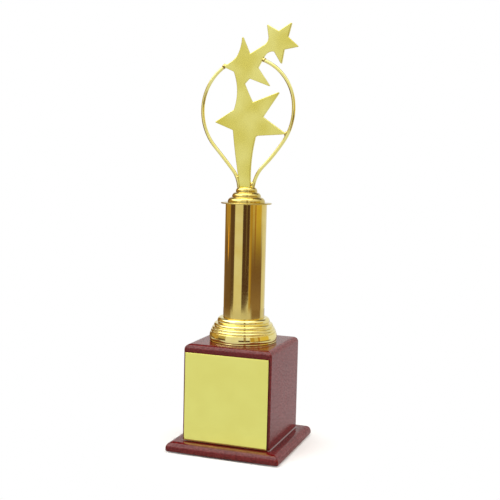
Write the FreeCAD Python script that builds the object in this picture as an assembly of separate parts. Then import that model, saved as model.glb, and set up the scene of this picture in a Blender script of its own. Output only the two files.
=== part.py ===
import FreeCAD, Part
import math
import os

from FreeCAD import Vector

# Star trophy, in millimetres, +Z up. The origin is the centre of the underside, on the
# surface it stands on. The front, with the engraving plate, faces -Y.
#
# A hollow lacquered wooden block stands on a plinth. A brass tube column rises from the
# block through a stepped collar and ends in a thin flange disc and a small stepped riser.
# A flat cut-out of three joined stars stands on the riser between two bent wire rods. One
# M6 tie rod, pinned to the cut-out's tang and nutted under the block's top board, clamps
# riser, disc, column and block together.

# ---- driving dimensions ----
BLOCK_WIDTH = 84.0            # square block, outside
BLOCK_TOP_Z = 98.4            # where the column stands
PANEL_THICKNESS = 8.0
TOP_BOARD_THICKNESS = 12.0
BLOCK_TOP_ROUND = 5.2         # rounded nosing along the block's top edges
BLOCK_CORNER_ROUND = 1.3      # vertical corners, almost sharp

PLINTH_WIDTH = 107.4
PLINTH_TOP_Z = 9.6
PLINTH_TOP_ROUND = 6.2
PLINTH_FOOT_ROUND = 1.5
PLINTH_CORNER_ROUND = 2.0
FELT_THICKNESS = 1.0
FELT_WIDTH = 99.0

PLATE_WIDTH = 79.0
PLATE_BOTTOM_Z = 10.5
PLATE_TOP_Z = 91.3
PLATE_THICKNESS = 1.2
PLATE_BEVEL_WIDTH = 1.2       # polished bevel round the plate's face
PLATE_BEVEL_DEPTH = 0.1
TAPE_THICKNESS = 0.3

COLUMN_RADIUS = 19.05         # 1 1/2 inch tube
COLUMN_WALL = 1.0
COLUMN_TOP_Z = 225.0
PLUG_HEIGHT = 10.0
PLUG_CLEARANCE = 0.1          # radial, inside the tube
COLLAR_CLEARANCE = 0.1        # radial, outside the tube

DISC_RADIUS = 23.4
DISC_THICKNESS = 1.2
DISC_EDGE_ROUND = 0.45
RISER_TOP_Z = 240.2
RISER_WALL = 1.6

FIGURE_THICKNESS = 3.0
FIGURE_EDGE_ROUND = 0.5
FIGURE_TIP_ROUND = 0.6
FIGURE_HOLLOW_ROUND = 0.6     # in the corners between the stars' arms
ROD_DIAMETER = 3.2
ROD_FOOT_LENGTH = 1.6         # straight stub below each rod's first bend

TANG_WIDTH = 7.0
TANG_LENGTH = 6.4
TANG_CLEARANCE = 0.1          # each side, in the riser's slot
TANG_ROOT = 2.0               # overlap of the tang with the plate above it
BOSS_RADIUS = 7.0
BOSS_HEIGHT = 11.8
BOSS_GAP = 0.2                # between the boss and the riser's roof
PIN_RADIUS = 1.0
PIN_DEPTH = 4.0               # cross pin's axis below the riser's top
PIN_INSET = 0.5               # each end inside the boss's surface
ROD_END_GAP = 0.6             # between the tie rod's end and the tang
TAP_END_GAP = 0.4             # between the tapped hole's end and the tang

M6_RADIUS = 3.0
M6_CLEARANCE_RADIUS = 3.3
M6_NUT_ACROSS_FLATS = 10.0
M6_NUT_HEIGHT = 5.0
WASHER_RADIUS = 9.0
WASHER_THICKNESS = 1.6
M6_NUT_CHAMFER = 0.7
TIE_ROD_CHAMFER = 0.8
ROD_END_PAST_NUT = 3.5

SCREW_OFFSET = 27.0           # plinth screws, from the middle along X and Y
SCREW_RADIUS = 1.75
SCREW_HEAD_RADIUS = 3.5
SCREW_LENGTH = 24.0
SCREW_POINT_LENGTH = 4.0
SCREW_RECESS = 0.4            # head below the plinth's underside
SCREW_SLOT_LENGTH = 4.2       # cross recess
SCREW_SLOT_WIDTH = 0.9
SCREW_SLOT_DEPTH = 1.6
CORNER_BLOCK_WIDTH = 14.0
CORNER_BLOCK_HEIGHT = 30.0
FELT_CORNER_ROUND = 3.0
FILLET_SIZE = 0.8             # bead of glue and lacquer round the block's foot
FILLET_FLAT = 0.05            # what its bevel leaves of its top and outer edges

# ---- worked out ----
HALF_BLOCK = BLOCK_WIDTH / 2
TOP_BOARD_Z = BLOCK_TOP_Z - TOP_BOARD_THICKNESS
COLUMN_BORE = COLUMN_RADIUS - COLUMN_WALL
DISC_TOP_Z = COLUMN_TOP_Z + DISC_THICKNESS
PLATE_BACK_Y = -HALF_BLOCK - TAPE_THICKNESS
NUT_TOP_Z = TOP_BOARD_Z - WASHER_THICKNESS
NUT_BOTTOM_Z = NUT_TOP_Z - M6_NUT_HEIGHT
SCREW_HEAD_Z = FELT_THICKNESS + SCREW_RECESS
TANG_BOTTOM_Z = RISER_TOP_Z - TANG_LENGTH
BOSS_TOP_Z = RISER_TOP_Z - RISER_WALL - BOSS_GAP


# ---- helpers ----
def wire_xz(points):
    """Closed wire in the XZ plane. (x, z) is reached by a line from the point before it,
    and (x, z, via_x, via_z) by an arc through the via point."""
    edges = []
    last = points[-1]
    for point in points:
        start = Vector(last[0], 0, last[1])
        end = Vector(point[0], 0, point[1])
        if len(point) == 4:
            edges.append(Part.Arc(start, Vector(point[2], 0, point[3]), end).toShape())
        else:
            edges.append(Part.LineSegment(start, end).toShape())
        last = point
    return Part.Wire(edges)


def lathe(points):
    """Solid turned about the Z axis from a closed outline of (radius, z) points."""
    return Part.Face(wire_xz(points)).revolve(Vector(0, 0, 0), Vector(0, 0, 1), 360)


def cylinder(radius, low_z, high_z, x=0.0, y=0.0):
    return Part.makeCylinder(radius, high_z - low_z, Vector(x, y, low_z))


def centred_box(width, depth, low_z, high_z, x=0.0, y=0.0):
    corner = Vector(x - width / 2, y - depth / 2, low_z)
    return Part.makeBox(width, depth, high_z - low_z, corner)


def rounded_prism(width, corner_round, low_z, high_z):
    """Square upright prism with rounded vertical corners."""
    prism = centred_box(width, width, low_z, high_z)
    upright = [edge for edge in prism.Edges if edge.BoundBox.ZLength > 1e-6]
    return prism.makeFillet(corner_round, upright)


def moulded_board(width, low_z, high_z, top_round, foot_round, corner_round):
    """Square board with a rounded nosing whose four runs meet in mitre lines."""
    half = width / 2
    top_via = top_round * (1 - math.sqrt(0.5))
    foot_via = foot_round * (1 - math.sqrt(0.5))
    outline = [
        (half - foot_round, low_z),
        (half, low_z + foot_round, half - foot_via, low_z + foot_via),
        (half, high_z - top_round),
        (half - top_round, high_z, half - top_via, high_z - top_via),
        (top_round - half, high_z),
        (-half, high_z - top_round, top_via - half, high_z - top_via),
        (-half, low_z + foot_round),
        (foot_round - half, low_z, foot_via - half, low_z + foot_via),
    ]
    if foot_round == 0:
        outline = [(half, low_z)] + outline[2:6] + [(-half, low_z)]
    profile = Part.Face(wire_xz(outline))
    profile.translate(Vector(0, -half, 0))
    along_y = profile.extrude(Vector(0, width, 0))
    along_x = along_y.copy()
    along_x.rotate(Vector(0, 0, 0), Vector(0, 0, 1), 90)
    corners = rounded_prism(width, corner_round, low_z, high_z)
    return along_y.common(along_x).common(corners)


def four_corners(offset):
    return [(x, y) for x in (-offset, offset) for y in (-offset, offset)]


def round_rims(solid):
    """The level edges of an upright round solid."""
    return [edge for edge in solid.Edges if edge.BoundBox.ZLength < 1e-6]


# ---- base ----
def base_felt():
    return rounded_prism(FELT_WIDTH, FELT_CORNER_ROUND, 0.0, FELT_THICKNESS)


def screw_blank(x, y):
    """Countersunk wood screw pointing up, as a plain body: also the hole that it fills."""
    neck_z = SCREW_HEAD_Z + SCREW_HEAD_RADIUS - SCREW_RADIUS
    tip_z = SCREW_HEAD_Z + SCREW_LENGTH
    body = lathe([
        (0, SCREW_HEAD_Z),
        (SCREW_HEAD_RADIUS, SCREW_HEAD_Z),
        (SCREW_RADIUS, neck_z),
        (SCREW_RADIUS, tip_z - SCREW_POINT_LENGTH),
        (0, tip_z),
    ])
    body.translate(Vector(x, y, 0))
    return body


def plinth_board():
    board = moulded_board(PLINTH_WIDTH, FELT_THICKNESS, PLINTH_TOP_Z, PLINTH_TOP_ROUND,
                          PLINTH_FOOT_ROUND, PLINTH_CORNER_ROUND)
    for x, y in four_corners(SCREW_OFFSET):
        board = board.cut(screw_blank(x, y))
        board = board.cut(cylinder(SCREW_HEAD_RADIUS, FELT_THICKNESS, SCREW_HEAD_Z, x, y))
    return board


def plinth_screws():
    slot_top_z = SCREW_HEAD_Z + SCREW_SLOT_DEPTH
    slots = ((SCREW_SLOT_LENGTH, SCREW_SLOT_WIDTH), (SCREW_SLOT_WIDTH, SCREW_SLOT_LENGTH))
    screws = []
    for x, y in four_corners(SCREW_OFFSET):
        screw = screw_blank(x, y)
        for width, depth in slots:
            screw = screw.cut(centred_box(width, depth, FELT_THICKNESS, slot_top_z, x, y))
        screws.append(screw)
    return Part.makeCompound(screws)


def corner_glue_blocks():
    inner = HALF_BLOCK - PANEL_THICKNESS
    centre = inner - CORNER_BLOCK_WIDTH / 2
    blocks = []
    for x, y in four_corners(centre):
        block = centred_box(CORNER_BLOCK_WIDTH, CORNER_BLOCK_WIDTH, PLINTH_TOP_Z,
                            PLINTH_TOP_Z + CORNER_BLOCK_HEIGHT, x, y)
        screw = screw_blank(math.copysign(SCREW_OFFSET, x), math.copysign(SCREW_OFFSET, y))
        blocks.append(block.cut(screw))
    return Part.makeCompound(blocks)


# ---- block ----
def side_panel(quarter_turns):
    """One wall of the block, mitred at both ends, turned about Z from the front."""
    outer = HALF_BLOCK
    inner = HALF_BLOCK - PANEL_THICKNESS
    plan = [(-outer, -outer), (outer, -outer), (inner, -inner), (-inner, -inner)]
    corners = [Vector(x, y, PLINTH_TOP_Z) for x, y in plan]
    face = Part.Face(Part.makePolygon(corners + corners[:1]))
    wall = face.extrude(Vector(0, 0, TOP_BOARD_Z - PLINTH_TOP_Z))
    wall.rotate(Vector(0, 0, 0), Vector(0, 0, 1), 90 * quarter_turns)
    prism = rounded_prism(BLOCK_WIDTH, BLOCK_CORNER_ROUND, PLINTH_TOP_Z, TOP_BOARD_Z)
    return wall.common(prism)


def block_top_board():
    board = moulded_board(BLOCK_WIDTH, TOP_BOARD_Z, BLOCK_TOP_Z, BLOCK_TOP_ROUND, 0,
                          BLOCK_CORNER_ROUND)
    return board.cut(cylinder(M6_CLEARANCE_RADIUS, TOP_BOARD_Z, BLOCK_TOP_Z))


def lacquer_fillet():
    """Bead of glue and lacquer in the corner between the block's walls and the plinth."""
    top = PLINTH_TOP_Z + FILLET_SIZE
    outer = rounded_prism(BLOCK_WIDTH + 2 * FILLET_SIZE, BLOCK_CORNER_ROUND + FILLET_SIZE,
                          PLINTH_TOP_Z, top)
    rim = [edge for edge in outer.Edges if edge.BoundBox.ZMin > top - 1e-6]
    bevelled = outer.makeChamfer(FILLET_SIZE - FILLET_FLAT, rim)
    return bevelled.cut(rounded_prism(BLOCK_WIDTH, BLOCK_CORNER_ROUND, PLINTH_TOP_Z, top))


# ---- engraving plate ----
def plate_rectangle(inset, y):
    """Corners of the plate's outline, inset from its edge, at one depth."""
    half = PLATE_WIDTH / 2 - inset
    low = PLATE_BOTTOM_Z + inset
    high = PLATE_TOP_Z - inset
    corners = [Vector(-half, y, low), Vector(half, y, low), Vector(half, y, high),
               Vector(-half, y, high)]
    return Part.makePolygon(corners + corners[:1])


def engraving_plate():
    front_y = PLATE_BACK_Y - PLATE_THICKNESS
    shoulder_y = front_y + PLATE_BEVEL_DEPTH
    slab = Part.Face(plate_rectangle(0, PLATE_BACK_Y))
    slab = slab.extrude(Vector(0, shoulder_y - PLATE_BACK_Y, 0))
    bevel = Part.makeLoft([plate_rectangle(0, shoulder_y),
                           plate_rectangle(PLATE_BEVEL_WIDTH, front_y)], True, True)
    return slab.fuse(bevel).removeSplitter()


def plate_tape_strips():
    strip_width = 12.0
    strip_x = 28.0
    margin = 5.0
    strips = []
    for x in (-strip_x, strip_x):
        strips.append(centred_box(strip_width, TAPE_THICKNESS, PLATE_BOTTOM_Z + margin,
                                  PLATE_TOP_Z - margin, x, -HALF_BLOCK - TAPE_THICKNESS / 2))
    return Part.makeCompound(strips)


# ---- column ----
def lower_collar():
    """Hollow stepped collar round the column's foot: a lipped band, two thin ridges and two
    tiers."""
    bore = COLUMN_RADIUS + COLLAR_CLEARANCE
    foot = BLOCK_TOP_Z
    outside = [
        (31.0, foot),
        (31.0, foot + 0.8),
        (30.8, foot + 1.3),
        (31.3, foot + 1.8),
        (30.6, foot + 8.3, 31.3, foot + 5.0),
        (29.5, foot + 8.6),
        (28.9, foot + 11.0, 30.1, foot + 9.7),
        (28.2, foot + 11.1),
        (27.6, foot + 13.3, 28.9, foot + 12.2),
        (26.7, foot + 13.5),
        (24.9, foot + 16.7, 27.3, foot + 15.2),
        (23.6, foot + 16.9),
        (20.9, foot + 22.0, 24.2, foot + 19.3),
        (bore, foot + 22.1),
    ]
    inside = [
        (bore, foot + 20.4),
        (22.0, foot + 19.4),
        (22.2, foot + 15.0),
        (25.6, foot + 13.4),
        (25.8, foot + 9.6),
        (28.8, foot + 7.6),
        (28.6, foot),
    ]
    return lathe(outside + inside)


def column_tube():
    tube = cylinder(COLUMN_RADIUS, BLOCK_TOP_Z, COLUMN_TOP_Z)
    return tube.cut(cylinder(COLUMN_BORE, BLOCK_TOP_Z, COLUMN_TOP_Z))


def column_plug(low_z):
    """Disc that centres the tube on the tie rod."""
    plug = cylinder(COLUMN_BORE - PLUG_CLEARANCE, low_z, low_z + PLUG_HEIGHT)
    return plug.cut(cylinder(M6_CLEARANCE_RADIUS, low_z, low_z + PLUG_HEIGHT))


def top_flange_disc():
    disc = cylinder(DISC_RADIUS, COLUMN_TOP_Z, DISC_TOP_Z)
    disc = disc.makeFillet(DISC_EDGE_ROUND, round_rims(disc))
    return disc.cut(cylinder(M6_CLEARANCE_RADIUS, COLUMN_TOP_Z, DISC_TOP_Z))


def upper_riser():
    """Hollow three-tier riser, slotted on top for the figure's tang."""
    foot = DISC_TOP_Z
    top = RISER_TOP_Z
    shell = lathe([
        (17.3, foot),
        (17.2, foot + 0.9),
        (13.6, foot + 4.9, 16.1, foot + 3.5),
        (13.2, foot + 5.1),
        (13.3, foot + 5.8),
        (10.2, foot + 9.3, 12.4, foot + 8.0),
        (9.8, foot + 9.5),
        (9.9, foot + 10.1),
        (7.6, top, 9.2, foot + 12.6),
        (0, top),
        (0, top - RISER_WALL),
        (8.0, top - RISER_WALL),
        (8.0, foot + 8.2),
        (11.4, foot + 7.0),
        (11.6, foot + 4.0),
        (15.0, foot + 2.4),
        (15.2, foot),
    ])
    slot = centred_box(TANG_WIDTH + 2 * TANG_CLEARANCE, FIGURE_THICKNESS + 2 * TANG_CLEARANCE,
                       BOSS_TOP_Z, top)
    return shell.cut(slot)


# ---- figure ----
# Outline of the three joined stars, anticlockwise from the right of the foot, as (x, z)
# points, with a via point where the edge is an arc.
FIGURE_OUTLINE = [
    (4.0, RISER_TOP_Z),
    (7.1, 284.2, 3.8, 262.0),           # lower stem, right edge
    (9.7, 287.1, 7.9, 286.3),
    (37.2, 288.7),                      # big star, right tip
    (14.3, 304.1),
    (29.8, 326.6),                      # big star, upper right tip
    (4.1, 317.2),
    (-4.1, 333.9, -0.4, 325.8),         # middle stem, right edge
    (0.3, 338.5),
    (20.7, 330.9),                      # middle star, lower right tip
    (8.4, 348.1),
    (14.2, 358.2, 11.0, 352.6),         # upper stem, lower edge
    (23.2, 361.9, 18.1, 361.6),
    (30.4, 350.4),                      # small star, bottom tip
    (32.7, 363.7),
    (46.2, 366.0),                      # small star, right tip
    (36.0, 374.8),
    (39.4, 387.6),                      # small star, upper right tip
    (27.2, 380.1),
    (15.9, 386.4),                      # small star, upper left tip
    (17.7, 374.7),
    (12.7, 367.6, 16.2, 370.2),         # upper stem, upper edge
    (0.4, 360.4),
    (-7.6, 378.0),                      # middle star, top tip
    (-12.2, 358.4, -8.9, 366.1),
    (-26.0, 349.7, -18.1, 353.3),       # middle star, left tip
    (-14.8, 344.7),
    (-13.9, 310.5, -11.2, 328.5),       # middle stem, left edge
    (-32.4, 299.1),                     # big star, left tip
    (-14.4, 291.9),
    (-6.3, RISER_TOP_Z, -11.0, 266.0),  # lower stem, left edge
]


def star_figure():
    """The three stars cut from one plate with rounded edges, and its tang below."""
    face = Part.Face(wire_xz(FIGURE_OUTLINE))
    face = face.makeOffset2D(-FIGURE_TIP_ROUND).makeOffset2D(FIGURE_TIP_ROUND)
    face = face.makeOffset2D(FIGURE_HOLLOW_ROUND).makeOffset2D(-FIGURE_HOLLOW_ROUND)
    half = FIGURE_THICKNESS / 2
    face.translate(Vector(0, -half, 0))
    plate = face.extrude(Vector(0, FIGURE_THICKNESS, 0))
    faces_round = [edge for edge in plate.Edges if edge.BoundBox.YLength < 1e-6]
    plate = plate.makeFillet(FIGURE_EDGE_ROUND, faces_round)
    below_foot = centred_box(BLOCK_WIDTH, BLOCK_WIDTH, COLUMN_TOP_Z, RISER_TOP_Z)
    plate = plate.cut(below_foot)
    tang = centred_box(TANG_WIDTH, FIGURE_THICKNESS, TANG_BOTTOM_Z, RISER_TOP_Z + TANG_ROOT)
    return plate.fuse(tang).removeSplitter().cut(boss_pin())


def tangent_arcs(start, heading, points):
    """Wire of arcs in the XZ plane, each tangent to the one before, from start through
    points. The heading is the starting direction, in degrees from +X towards +Z."""
    angle = math.radians(heading)
    tangent = Vector(math.cos(angle), 0, math.sin(angle))
    last = Vector(start[0], 0, start[1])
    edges = []
    for x, z in points:
        end = Vector(x, 0, z)
        chord = end - last
        along = Vector(chord).normalize()
        across = Vector(-along.z, 0, along.x)
        bend = math.atan2(tangent.dot(across), tangent.dot(along))
        middle = (last + end) * 0.5 + across * (chord.Length / 2 * math.tan(bend / 2))
        edges.append(Part.Arc(last, middle, end).toShape())
        tangent = along * (2 * tangent.dot(along)) - tangent
        last = end
    return Part.Wire(edges)


def bent_rod(start, heading, points):
    """Round rod along tangent arcs in the figure's plane, standing on the riser. Both ends
    are trimmed to what they are soldered to."""
    angle = math.radians(heading)
    direction = Vector(math.cos(angle), 0, math.sin(angle))
    bend_start = Vector(start[0], 0, start[1])
    foot = bend_start - direction * ROD_FOOT_LENGTH
    spine = Part.Wire([Part.LineSegment(foot, bend_start).toShape()]
                      + tangent_arcs(start, heading, points).Edges)
    ring = Part.Circle(foot, direction, ROD_DIAMETER / 2)
    rod = spine.makePipeShell([Part.Wire(ring.toShape())], True, False)
    pieces = rod.cut(upper_riser()).cut(star_figure()).Solids
    return max(pieces, key=lambda piece: piece.Volume)


def left_loop_rod():
    return bent_rod((-7.8, 240.2), 93.3,
                    [(-13.9, 255.7), (-32.0, 276.7), (-44.8, 308.0), (-24.7, 349.2)])


def right_loop_rod():
    return bent_rod((6.1, 240.0), 82.8,
                    [(10.1, 252.5), (15.2, 259.4), (33.9, 282.2), (42.3, 318.4), (12.8, 354.9)])


def solder_beads():
    """Small beads of solder at the rods' feet and where the rods meet the stars, each
    a ball, given as (radius, x, z), less what it is soldered to."""
    beads = [
        (2.1, -9.6, 249.4),
        (1.9, 5.3, 242.9),
        (2.0, -24.8, 349.6),
        (2.1, 14.0, 354.9),
        (1.9, 36.2, 288.9),
    ]
    neighbours = [star_figure(), left_loop_rod(), right_loop_rod(), upper_riser()]
    lumps = []
    for radius, x, z in beads:
        bead = Part.makeSphere(radius, Vector(x, 0, z))
        for neighbour in neighbours:
            bead = bead.cut(neighbour)
        lumps.extend(bead.Solids)
    return Part.makeCompound(lumps)


def boss_pin():
    """Cross pin that holds the figure's tang in the boss."""
    length = 2 * (BOSS_RADIUS - PIN_INSET)
    start = Vector(0, -length / 2, RISER_TOP_Z - PIN_DEPTH)
    return Part.makeCylinder(PIN_RADIUS, length, start, Vector(0, 1, 0))


def figure_boss():
    """Brass boss inside the riser: slotted for the tang above, tapped M6 below."""
    low = BOSS_TOP_Z - BOSS_HEIGHT
    boss = cylinder(BOSS_RADIUS, low, BOSS_TOP_Z)
    boss = boss.cut(centred_box(TANG_WIDTH, FIGURE_THICKNESS, TANG_BOTTOM_Z, BOSS_TOP_Z))
    boss = boss.cut(cylinder(M6_RADIUS, low, TANG_BOTTOM_Z - TAP_END_GAP))
    return boss.cut(boss_pin())


# ---- tie rod ----
def tie_rod():
    """M6 rod, drawn at its thread's major diameter, with chamfered ends."""
    rod = cylinder(M6_RADIUS, NUT_BOTTOM_Z - ROD_END_PAST_NUT, TANG_BOTTOM_Z - ROD_END_GAP)
    return rod.makeChamfer(TIE_ROD_CHAMFER, round_rims(rod))


def tie_rod_washer():
    washer = cylinder(WASHER_RADIUS, NUT_TOP_Z, TOP_BOARD_Z)
    return washer.cut(cylinder(M6_CLEARANCE_RADIUS, NUT_TOP_Z, TOP_BOARD_Z))


def tie_rod_nut():
    corner_radius = M6_NUT_ACROSS_FLATS / math.sqrt(3)
    corners = []
    for side in range(6):
        angle = math.radians(60 * side)
        corners.append(Vector(corner_radius * math.cos(angle), corner_radius * math.sin(angle),
                              NUT_BOTTOM_Z))
    hexagon = Part.Face(Part.makePolygon(corners + corners[:1]))
    nut = hexagon.extrude(Vector(0, 0, M6_NUT_HEIGHT))
    rounded = lathe([
        (0, NUT_BOTTOM_Z),
        (corner_radius - M6_NUT_CHAMFER, NUT_BOTTOM_Z),
        (corner_radius, NUT_BOTTOM_Z + M6_NUT_CHAMFER),
        (corner_radius, NUT_TOP_Z),
        (0, NUT_TOP_Z),
    ])
    return nut.common(rounded).cut(cylinder(M6_RADIUS, NUT_BOTTOM_Z, NUT_TOP_Z))


NODES = {
    "base_felt": base_felt(),
    "plinth_board": plinth_board(),
    "plinth_screws": plinth_screws(),
    "corner_glue_blocks": corner_glue_blocks(),
    "block_front_panel": side_panel(0),
    "block_right_panel": side_panel(1),
    "block_back_panel": side_panel(2),
    "block_left_panel": side_panel(3),
    "block_top_board": block_top_board(),
    "lacquer_fillet": lacquer_fillet(),
    "engraving_plate": engraving_plate(),
    "plate_tape_strips": plate_tape_strips(),
    "lower_collar": lower_collar(),
    "column_tube": column_tube(),
    "column_lower_plug": column_plug(BLOCK_TOP_Z),
    "column_upper_plug": column_plug(COLUMN_TOP_Z - PLUG_HEIGHT),
    "top_flange_disc": top_flange_disc(),
    "upper_riser": upper_riser(),
    "star_figure": star_figure(),
    "left_loop_rod": left_loop_rod(),
    "right_loop_rod": right_loop_rod(),
    "solder_beads": solder_beads(),
    "figure_boss": figure_boss(),
    "boss_pin": boss_pin(),
    "tie_rod": tie_rod(),
    "tie_rod_washer": tie_rod_washer(),
    "tie_rod_nut": tie_rod_nut(),
}

os.makedirs("parts", exist_ok=True)
for node, shape in NODES.items():
    shape.exportStep("parts/%s.step" % node)
    print("%-20s valid %s  solids %d  volume %.0f" % (node, shape.isValid(),
                                                      len(shape.Solids), shape.Volume))
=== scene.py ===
import math

import bmesh
import bpy
from mathutils import Matrix, Vector, kdtree, noise
from mathutils.geometry import delaunay_2d_cdt


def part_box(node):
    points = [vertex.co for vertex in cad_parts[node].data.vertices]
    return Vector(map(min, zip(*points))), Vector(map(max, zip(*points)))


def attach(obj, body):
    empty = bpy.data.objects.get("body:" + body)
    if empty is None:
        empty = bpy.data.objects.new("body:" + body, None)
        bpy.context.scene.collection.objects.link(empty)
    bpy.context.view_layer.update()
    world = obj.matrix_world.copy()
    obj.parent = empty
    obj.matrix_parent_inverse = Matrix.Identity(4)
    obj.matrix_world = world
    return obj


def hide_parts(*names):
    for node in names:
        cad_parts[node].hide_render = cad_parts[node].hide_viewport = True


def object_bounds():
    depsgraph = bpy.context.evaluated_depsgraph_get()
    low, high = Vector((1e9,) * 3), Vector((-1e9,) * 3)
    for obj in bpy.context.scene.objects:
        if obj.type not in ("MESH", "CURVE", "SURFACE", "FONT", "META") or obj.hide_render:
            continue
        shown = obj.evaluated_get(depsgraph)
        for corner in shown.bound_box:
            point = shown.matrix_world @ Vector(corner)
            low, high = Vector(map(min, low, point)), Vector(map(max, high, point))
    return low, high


# The star trophy's looks. The CAD frame gives places and sizes, and every visible CAD node
# is replaced by a finer mesh of the same shape. Lengths are in metres, and outlines are
# written in millimetres and scaled by MM.

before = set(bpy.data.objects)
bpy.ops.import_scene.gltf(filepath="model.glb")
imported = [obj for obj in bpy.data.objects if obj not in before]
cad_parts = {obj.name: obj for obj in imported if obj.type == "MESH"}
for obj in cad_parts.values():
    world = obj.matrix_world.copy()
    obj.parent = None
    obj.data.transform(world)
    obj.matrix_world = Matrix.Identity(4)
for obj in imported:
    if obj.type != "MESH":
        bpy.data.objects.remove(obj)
cad_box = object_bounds()

MM = 0.001
WELD = 1e-7                   # points closer together than this are one point
ARRIS = 0.25 * MM             # what sanding takes off the mitre lines of a nosing
CREASE = 0.6 * MM             # how far a curve's soft shading reaches on to a flat face
BLOCK_CORNER = 1.3 * MM       # rounding of the block's upright corners

# ---- places and sizes, from the frame ----
PLINTH_LOW, PLINTH_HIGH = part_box("plinth_board")
WALLS_LOW, WALLS_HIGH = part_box("block_front_panel")
CAP_LOW, CAP_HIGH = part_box("block_top_board")
PLATE_LOW, PLATE_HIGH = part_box("engraving_plate")
TUBE_LOW, TUBE_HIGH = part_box("column_tube")
DISC_LOW, DISC_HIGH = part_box("top_flange_disc")
RISER_LOW, RISER_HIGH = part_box("upper_riser")
FELT_LOW, FELT_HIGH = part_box("base_felt")
HALF_BLOCK = WALLS_HIGH.x
HALF_PLINTH = PLINTH_HIGH.x
TOTAL_HEIGHT = cad_box[1].z


# ---- mesh helpers ----
def arc_points(start, via, end, step):
    """Points after start along the arc through via to end, about step apart."""
    ax, az = start
    bx, bz = via
    cx, cz = end
    twice_area = 2 * (ax * (bz - cz) + bx * (cz - az) + cx * (az - bz))
    a2, b2, c2 = ax * ax + az * az, bx * bx + bz * bz, cx * cx + cz * cz
    ox = (a2 * (bz - cz) + b2 * (cz - az) + c2 * (az - bz)) / twice_area
    oz = (a2 * (cx - bx) + b2 * (ax - cx) + c2 * (bx - ax)) / twice_area
    radius = math.hypot(ax - ox, az - oz)
    first = math.atan2(az - oz, ax - ox)
    middle = (math.atan2(bz - oz, bx - ox) - first) % math.tau
    sweep = (math.atan2(cz - oz, cx - ox) - first) % math.tau
    if middle > sweep:
        sweep -= math.tau
    count = max(3, math.ceil(abs(sweep) * radius / step))
    angles = [first + sweep * (i + 1) / count for i in range(count)]
    return [(ox + radius * math.cos(a), oz + radius * math.sin(a)) for a in angles]


def line_points(start, end, step):
    """Points after start along a straight line to end, at most step apart."""
    count = max(1, math.ceil(math.dist(start, end) / step))
    return [(start[0] + (end[0] - start[0]) * (i + 1) / count,
             start[1] + (end[1] - start[1]) * (i + 1) / count) for i in range(count)]


def trace(points, step):
    """Closed outline of (x, z) points: a point with two more numbers is reached by an arc
    through them. Long lines are divided into steps too."""
    traced = []
    last = points[-1][:2]
    for point in points:
        end = point[:2]
        if len(point) == 4:
            traced += arc_points(last, point[2:], end, step)
        else:
            traced += line_points(last, end, step)
        last = end
    return traced


def round_corners(points, radius, sharpest=math.radians(18), step=math.radians(20)):
    """The same closed outline with each corner sharper than an angle rounded off by an arc.
    An arc takes up less than half of the line to the next corner."""
    most_room, slack = 0.45, 1e-6
    count = len(points)
    points = [Vector(point) for point in points]
    place = [0.0]
    for i in range(count):
        place.append(place[-1] + (points[(i + 1) % count] - points[i]).length)
    total = place[count]
    corners = []
    for i, here in enumerate(points):
        heading = (here - points[i - 1]).normalized()
        leaving = (points[(i + 1) % count] - here).normalized()
        turn = math.atan2(heading.cross(leaving), heading.dot(leaving))
        if abs(turn) > sharpest:
            corners.append((i, heading, turn))
    rounded = []
    cut = set()
    arcs = {}
    for c, (i, heading, turn) in enumerate(corners):
        room_before = (place[i] - place[corners[c - 1][0]]) % total or total
        room_after = (place[corners[(c + 1) % len(corners)][0]] - place[i]) % total or total
        tangent = math.tan(abs(turn) / 2)
        reach = min(radius * tangent, most_room * room_before, most_room * room_after)
        side = math.copysign(reach / tangent, turn)
        start = points[i] - heading * reach
        centre = start + Vector((-heading.y, heading.x)) * side
        pieces = max(2, math.ceil(abs(turn) / step))
        arcs[i] = [tuple(centre + Matrix.Rotation(turn * k / pieces, 2) @ (start - centre))
                   for k in range(pieces + 1)]
        for direction in (-1, 1):
            j = (i + direction) % count
            while (place[j] - place[i]) * direction % total < reach + slack:
                cut.add(j)
                j = (j + direction) % count
    for i, here in enumerate(points):
        if i in arcs:
            rounded += arcs[i]
        elif i not in cut:
            rounded.append(tuple(here))
    return rounded


def quarter_arc(steps):
    """(cosine, sine) of the angles from 0 to 90 degrees in equal steps, both ends included."""
    angles = [math.pi / 2 * i / steps for i in range(steps + 1)]
    return [(math.cos(angle), math.sin(angle)) for angle in angles]


def add_object(name, data):
    """Object in the scene for a mesh, a light or a camera."""
    made = bpy.data.objects.new(name, data)
    bpy.context.scene.collection.objects.link(made)
    return made


def finish_mesh(name, verts, faces, sharp_angle=40):
    """Closed mesh object with smooth shading, except across edges sharper than an angle."""
    mesh = bpy.data.meshes.new(name)
    mesh.from_pydata(verts, [], faces)
    work = bmesh.new()
    work.from_mesh(mesh)
    bmesh.ops.remove_doubles(work, verts=work.verts, dist=WELD)
    bmesh.ops.recalc_face_normals(work, faces=work.faces)
    loose = [vert for vert in work.verts if not vert.link_faces]
    bmesh.ops.delete(work, geom=loose, context="VERTS")
    for face in work.faces:
        face.smooth = True
    limit = math.radians(sharp_angle)
    for edge in work.edges:
        edge.smooth = edge.calc_face_angle(math.pi) < limit
    work.to_mesh(mesh)
    work.free()
    return add_object(name, mesh)


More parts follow.
